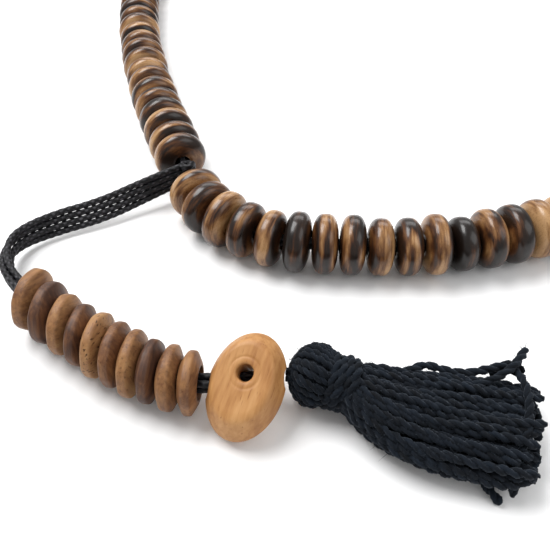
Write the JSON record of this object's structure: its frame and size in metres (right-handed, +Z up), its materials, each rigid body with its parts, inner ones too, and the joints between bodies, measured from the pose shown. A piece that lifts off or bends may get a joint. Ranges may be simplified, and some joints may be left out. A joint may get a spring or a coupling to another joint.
{
  "type": "mala prayer beads",
  "caption": "Loop of rounded striped wooden beads lying flat, with a corded tail carrying sliding counter discs, a drilled wooden disc and a dark cotton tassel.",
  "frame": {"origin": "on the table, below the middle of the loop, counters, disc and tassel taken together", "axes": "+Z up, +X along the front run of beads, +Y away from the front run; the tail leaves towards -X and -Y"},
  "size_m": [0.129, 0.1719, 0.0091],
  "materials": {
    "bead_wood": "polished hardwood, striped dark brown and tan, soft gloss",
    "counter_wood": "satin brown hardwood",
    "disc_wood": "satin honey-coloured hardwood",
    "cord": "woven black waxed cotton cord",
    "tassel_yarn": "very dark navy plied cotton yarn"
  },
  "bodies": {
    "front_run": {"front_cord": "cord", "junction_knot": "cord"},
    "right_run": {"right_bead_run": "bead_wood", "right_cord": "cord"},
    "back_run": {"back_bead_run": "bead_wood", "back_cord": "cord"},
    "left_run": {"left_bead_run": "bead_wood", "left_cord": "cord"},
    "tail": {"tail_cord_1": "cord", "tail_cord_2": "cord", "tail_cord_3": "cord", "tail_cord_4": "cord"},
    "counter_01": {"counter_01": "counter_wood"},
    "counter_02": {"counter_02": "counter_wood"},
    "counter_03": {"counter_03": "counter_wood"},
    "counter_04": {"counter_04": "counter_wood"},
    "counter_05": {"counter_05": "counter_wood"},
    "counter_06": {"counter_06": "counter_wood"},
    "counter_07": {"counter_07": "counter_wood"},
    "counter_08": {"counter_08": "counter_wood"},
    "counter_09": {"counter_09": "counter_wood"},
    "counter_10": {"counter_10": "counter_wood"},
    "disc": {"disc": "disc_wood"},
    "tassel": {"tassel_hanger": "tassel_yarn", "tassel_head": "tassel_yarn", "tassel_neck_tie": "tassel_yarn", "tassel_skirt": "tassel_yarn"},
    "front_bead_01": {"front_bead_01": "bead_wood"},
    "front_bead_02": {"front_bead_02": "bead_wood"},
    "front_bead_03": {"front_bead_03": "bead_wood"},
    "front_bead_04": {"front_bead_04": "bead_wood"},
    "front_bead_05": {"front_bead_05": "bead_wood"},
    "front_bead_06": {"front_bead_06": "bead_wood"},
    "front_bead_07": {"front_bead_07": "bead_wood"},
    "front_bead_08": {"front_bead_08": "bead_wood"},
    "front_bead_09": {"front_bead_09": "bead_wood"},
    "front_bead_10": {"front_bead_10": "bead_wood"},
    "front_bead_11": {"front_bead_11": "bead_wood"},
    "front_bead_12": {"front_bead_12": "bead_wood"},
    "front_bead_13": {"front_bead_13": "bead_wood"},
    "front_bead_14": {"front_bead_14": "bead_wood"},
    "front_bead_15": {"front_bead_15": "bead_wood"},
    "front_bead_16": {"front_bead_16": "bead_wood"},
    "front_bead_17": {"front_bead_17": "bead_wood"},
    "front_bead_18": {"front_bead_18": "bead_wood"},
    "front_bead_19": {"front_bead_19": "bead_wood"},
    "front_bead_20": {"front_bead_20": "bead_wood"},
    "front_bead_21": {"front_bead_21": "bead_wood"},
    "front_bead_22": {"front_bead_22": "bead_wood"},
    "left_bead_01": {"left_bead_01": "bead_wood"},
    "left_bead_02": {"left_bead_02": "bead_wood"},
    "left_bead_03": {"left_bead_03": "bead_wood"},
    "left_bead_04": {"left_bead_04": "bead_wood"},
    "left_bead_05": {"left_bead_05": "bead_wood"},
    "left_bead_06": {"left_bead_06": "bead_wood"}
  },
  "joints": [
    {"name": "loop_flex", "type": "hinge", "parent": "front_run", "child": "right_run", "pos_m": [0.0315, -0.0385, 0.004], "axis": [0, 0, 1], "range_deg": [-8, 8]},
    {"name": "loop_flex_left", "type": "hinge", "parent": "front_run", "child": "left_run", "pos_m": [-0.043, -0.0356, 0.004], "axis": [0, 0, 1], "range_deg": [-8, 8]},
    {"name": "loop_flex_back", "type": "hinge", "parent": "right_run", "child": "back_run", "pos_m": [0.043, 0.0646, 0.004], "axis": [0, 0, 1], "range_deg": [-8, 8]},
    {"name": "tail_swing", "type": "hinge", "parent": "front_run", "child": "tail", "pos_m": [-0.04253, -0.03647, 0.004], "axis": [0, 0, 1], "range_deg": [-8, 8]},
    {"name": "counter_01_slide", "type": "hinge", "parent": "tail", "child": "counter_01", "pos_m": [-0.0149, -0.013, 0.0039], "axis": [0, 0, 1], "range_deg": [-1.7, 0]},
    {"name": "counter_02_slide", "type": "hinge", "parent": "tail", "child": "counter_02", "pos_m": [-0.0149, -0.013, 0.0039], "axis": [0, 0, 1], "range_deg": [-1.56, 0]},
    {"name": "counter_03_slide", "type": "hinge", "parent": "tail", "child": "counter_03", "pos_m": [-0.0149, -0.013, 0.0039], "axis": [0, 0, 1], "range_deg": [-1.42, 0]},
    {"name": "counter_04_slide", "type": "hinge", "parent": "tail", "child": "counter_04", "pos_m": [-0.0149, -0.013, 0.0039], "axis": [0, 0, 1], "range_deg": [-1.27, 0]},
    {"name": "counter_05_slide", "type": "hinge", "parent": "tail", "child": "counter_05", "pos_m": [-0.0149, -0.013, 0.0039], "axis": [0, 0, 1], "range_deg": [-1.13, 0]},
    {"name": "counter_06_slide", "type": "hinge", "parent": "tail", "child": "counter_06", "pos_m": [-0.0149, -0.013, 0.0039], "axis": [0, 0, 1], "range_deg": [-0.99161, 0]},
    {"name": "counter_07_slide", "type": "hinge", "parent": "tail", "child": "counter_07", "pos_m": [-0.0149, -0.013, 0.0039], "axis": [0, 0, 1], "range_deg": [-0.85, 0]},
    {"name": "counter_08_slide", "type": "hinge", "parent": "tail", "child": "counter_08", "pos_m": [-0.0149, -0.013, 0.0039], "axis": [0, 0, 1], "range_deg": [-0.70839, 0]},
    {"name": "counter_09_slide", "type": "hinge", "parent": "tail", "child": "counter_09", "pos_m": [-0.0149, -0.013, 0.0039], "axis": [0, 0, 1], "range_deg": [-0.56661, 0]},
    {"name": "counter_10_slide", "type": "hinge", "parent": "tail", "child": "counter_10", "pos_m": [-0.0149, -0.013, 0.0039], "axis": [0, 0, 1], "range_deg": [-0.425, 0]},
    {"name": "disc_turn", "type": "hinge", "parent": "tail", "child": "disc", "pos_m": [-0.03277, -0.07467, 0.00453], "axis": [0.9934, 0.0292, 0.111], "continuous": true},
    {"name": "tassel_swing", "type": "hinge", "parent": "tail", "child": "tassel", "pos_m": [-0.0279, -0.0745, 0.005], "axis": [0, 0, 1], "range_deg": [-12, 12]},
    {"name": "front_bead_01_spin", "type": "hinge", "parent": "front_run", "child": "front_bead_01", "pos_m": [-0.04085, -0.04146, 0.004], "axis": [0.3836, -0.9235, 0], "continuous": true},
    {"name": "front_bead_02_spin", "type": "hinge", "parent": "front_run", "child": "front_bead_02", "pos_m": [-0.03901, -0.04463, 0.004], "axis": [0.6098, -0.7926, 0], "continuous": true},
    {"name": "front_bead_03_spin", "type": "hinge", "parent": "front_run", "child": "front_bead_03", "pos_m": [-0.03642, -0.04722, 0.004], "axis": [0.7943, -0.6075, 0], "continuous": true},
    {"name": "front_bead_04_spin", "type": "hinge", "parent": "front_run", "child": "front_bead_04", "pos_m": [-0.03336, -0.04927, 0.004], "axis": [0.8544, -0.5196, 0], "continuous": true},
    {"name": "front_bead_05_spin", "type": "hinge", "parent": "front_run", "child": "front_bead_05", "pos_m": [-0.03006, -0.05088, 0.004], "axis": [0.9358, -0.3525, 0], "continuous": true},
    {"name": "front_bead_06_spin", "type": "hinge", "parent": "front_run", "child": "front_bead_06", "pos_m": [-0.02652, -0.05185, 0.004], "axis": [0.9849, -0.1732, 0], "continuous": true},
    {"name": "front_bead_07_spin", "type": "hinge", "parent": "front_run", "child": "front_bead_07", "pos_m": [-0.02286, -0.0522, 0.004], "axis": [0.9983, -0.0587, 0], "continuous": true},
    {"name": "front_bead_08_spin", "type": "hinge", "parent": "front_run", "child": "front_bead_08", "pos_m": [-0.01919, -0.05241, 0.004], "axis": [0.9983, -0.0587, 0], "continuous": true},
    {"name": "front_bead_09_spin", "type": "hinge", "parent": "front_run", "child": "front_bead_09", "pos_m": [-0.01551, -0.0526, 0.004], "axis": [0.9997, -0.0259, 0], "continuous": true},
    {"name": "front_bead_10_spin", "type": "hinge", "parent": "front_run", "child": "front_bead_10", "pos_m": [-0.01184, -0.05258, 0.004], "axis": [0.9993, 0.0366, 0], "continuous": true},
    {"name": "front_bead_11_spin", "type": "hinge", "parent": "front_run", "child": "front_bead_11", "pos_m": [-0.00817, -0.05233, 0.004], "axis": [0.9951, 0.099, 0], "continuous": true},
    {"name": "front_bead_12_spin", "type": "hinge", "parent": "front_run", "child": "front_bead_12", "pos_m": [-0.00452, -0.05185, 0.004], "axis": [0.987, 0.161, 0], "continuous": true},
    {"name": "front_bead_13_spin", "type": "hinge", "parent": "front_run", "child": "front_bead_13", "pos_m": [-0.00091, -0.05114, 0.004], "axis": [0.975, 0.2223, 0], "continuous": true},
    {"name": "front_bead_14_spin", "type": "hinge", "parent": "front_run", "child": "front_bead_14", "pos_m": [0.00265, -0.05022, 0.004], "axis": [0.962, 0.2732, 0], "continuous": true},
    {"name": "front_bead_15_spin", "type": "hinge", "parent": "front_run", "child": "front_bead_15", "pos_m": [0.00619, -0.04921, 0.004], "axis": [0.962, 0.2732, 0], "continuous": true},
    {"name": "front_bead_16_spin", "type": "hinge", "parent": "front_run", "child": "front_bead_16", "pos_m": [0.00973, -0.04821, 0.004], "axis": [0.962, 0.2732, 0], "continuous": true},
    {"name": "front_bead_17_spin", "type": "hinge", "parent": "front_run", "child": "front_bead_17", "pos_m": [0.01325, -0.04715, 0.004], "axis": [0.9498, 0.3128, 0], "continuous": true},
    {"name": "front_bead_18_spin", "type": "hinge", "parent": "front_run", "child": "front_bead_18", "pos_m": [0.01671, -0.0459, 0.004], "axis": [0.931, 0.3651, 0], "continuous": true},
    {"name": "front_bead_19_spin", "type": "hinge", "parent": "front_run", "child": "front_bead_19", "pos_m": [0.02009, -0.04446, 0.004], "axis": [0.9093, 0.4162, 0], "continuous": true},
    {"name": "front_bead_20_spin", "type": "hinge", "parent": "front_run", "child": "front_bead_20", "pos_m": [0.02339, -0.04284, 0.004], "axis": [0.8847, 0.4661, 0], "continuous": true},
    {"name": "front_bead_21_spin", "type": "hinge", "parent": "front_run", "child": "front_bead_21", "pos_m": [0.02664, -0.04111, 0.004], "axis": [0.8815, 0.4722, 0], "continuous": true},
    {"name": "front_bead_22_spin", "type": "hinge", "parent": "front_run", "child": "front_bead_22", "pos_m": [0.02988, -0.03937, 0.004], "axis": [0.8815, 0.4722, 0], "continuous": true},
    {"name": "left_bead_01_spin", "type": "hinge", "parent": "left_run", "child": "left_bead_01", "pos_m": [-0.0441, -0.03259, 0.004], "axis": [0.3441, -0.9389, 0], "continuous": true},
    {"name": "left_bead_02_spin", "type": "hinge", "parent": "left_run", "child": "left_bead_02", "pos_m": [-0.04535, -0.02919, 0.004], "axis": [0.3441, -0.9389, 0], "continuous": true},
    {"name": "left_bead_03_spin", "type": "hinge", "parent": "left_run", "child": "left_bead_03", "pos_m": [-0.0466, -0.02579, 0.004], "axis": [0.3441, -0.9389, 0], "continuous": true},
    {"name": "left_bead_04_spin", "type": "hinge", "parent": "left_run", "child": "left_bead_04", "pos_m": [-0.04784, -0.02239, 0.004], "axis": [0.3386, -0.9409, 0], "continuous": true},
    {"name": "left_bead_05_spin", "type": "hinge", "parent": "left_run", "child": "left_bead_05", "pos_m": [-0.04903, -0.01897, 0.004], "axis": [0.3208, -0.9471, 0], "continuous": true},
    {"name": "left_bead_06_spin", "type": "hinge", "parent": "left_run", "child": "left_bead_06", "pos_m": [-0.05016, -0.01553, 0.004], "axis": [0.3029, -0.953, 0], "continuous": true}
  ],
  "couplings": [
    {"joint": "loop_flex_left", "follows": "loop_flex", "ratio": 1},
    {"joint": "loop_flex_back", "follows": "loop_flex", "ratio": -1},
    {"joint": "counter_02_slide", "follows": "counter_01_slide", "ratio": 0.9167},
    {"joint": "counter_03_slide", "follows": "counter_01_slide", "ratio": 0.8333},
    {"joint": "counter_04_slide", "follows": "counter_01_slide", "ratio": 0.75},
    {"joint": "counter_05_slide", "follows": "counter_01_slide", "ratio": 0.6667},
    {"joint": "counter_06_slide", "follows": "counter_01_slide", "ratio": 0.5833},
    {"joint": "counter_07_slide", "follows": "counter_01_slide", "ratio": 0.5},
    {"joint": "counter_08_slide", "follows": "counter_01_slide", "ratio": 0.4167},
    {"joint": "counter_09_slide", "follows": "counter_01_slide", "ratio": 0.3333},
    {"joint": "counter_10_slide", "follows": "counter_01_slide", "ratio": 0.25}
  ]
}
